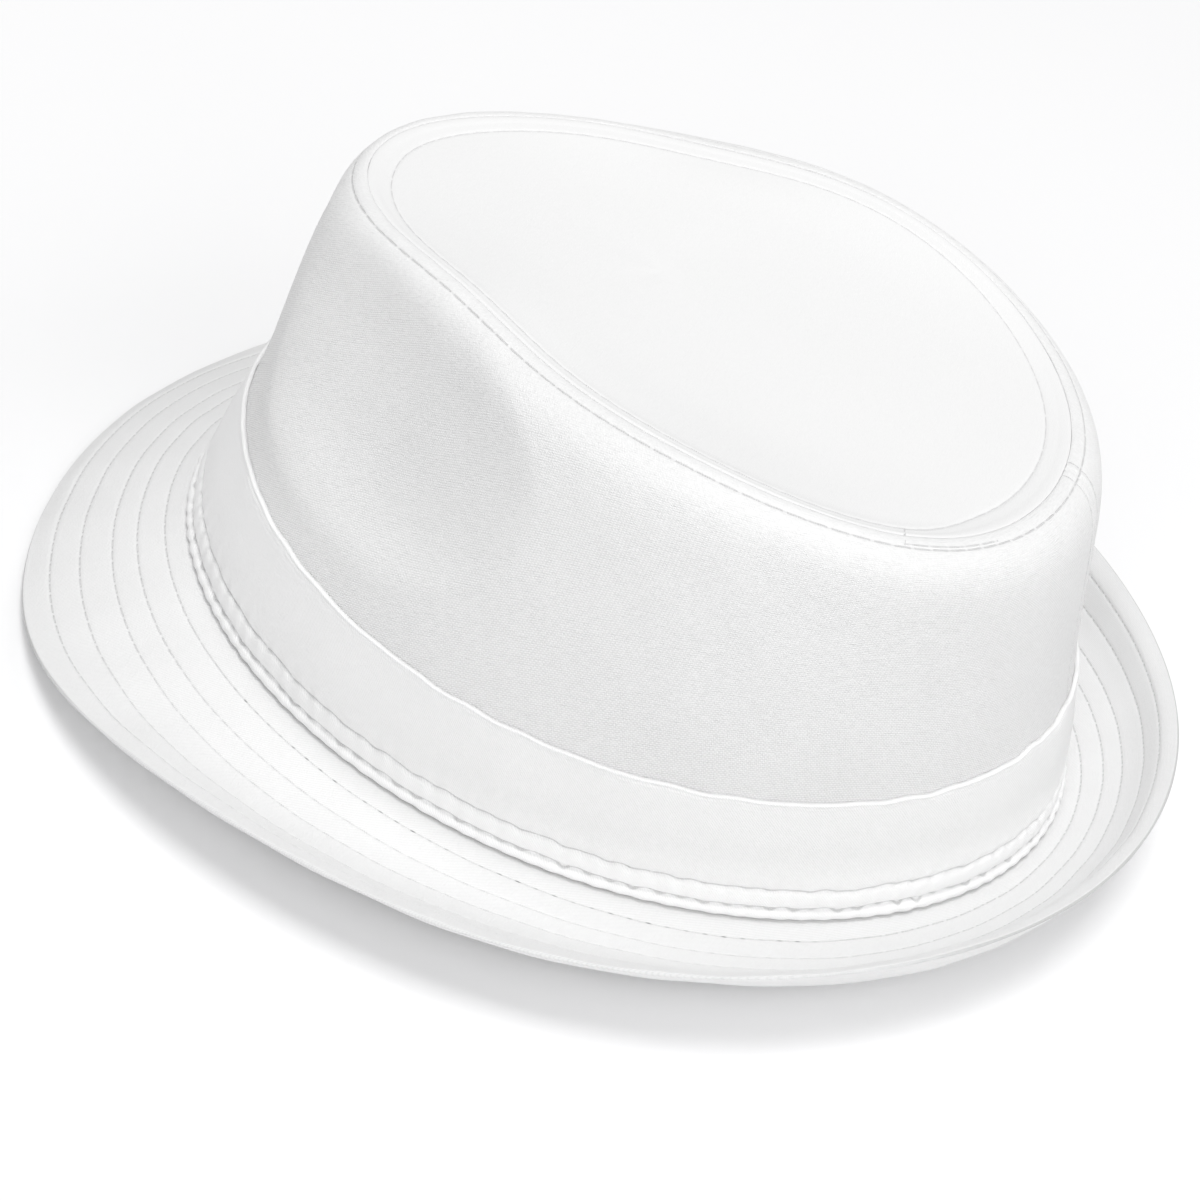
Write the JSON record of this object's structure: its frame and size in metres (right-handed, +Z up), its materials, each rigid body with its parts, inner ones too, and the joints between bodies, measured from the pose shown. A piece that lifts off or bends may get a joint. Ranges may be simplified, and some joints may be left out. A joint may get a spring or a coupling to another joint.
{
  "type": "trilby hat",
  "caption": "Cotton trilby: flat tapered crown with two front pinches, plain band, and a stitched brim snapped down in front and turned up at the back.",
  "frame": {"origin": "on the surface the hat lies on, under the middle of its outline", "axes": "+Z up, -Y towards the front of the hat, +X towards the wearer's left"},
  "size_m": [0.2568, 0.2596, 0.0982],
  "materials": {
    "white_cotton": "matt plain-weave cotton cloth"
  },
  "bodies": {
    "root": {"crown_tip": "white_cotton", "crown_side": "white_cotton", "hat_band": "white_cotton", "brim": "white_cotton"}
  },
  "joints": []
}
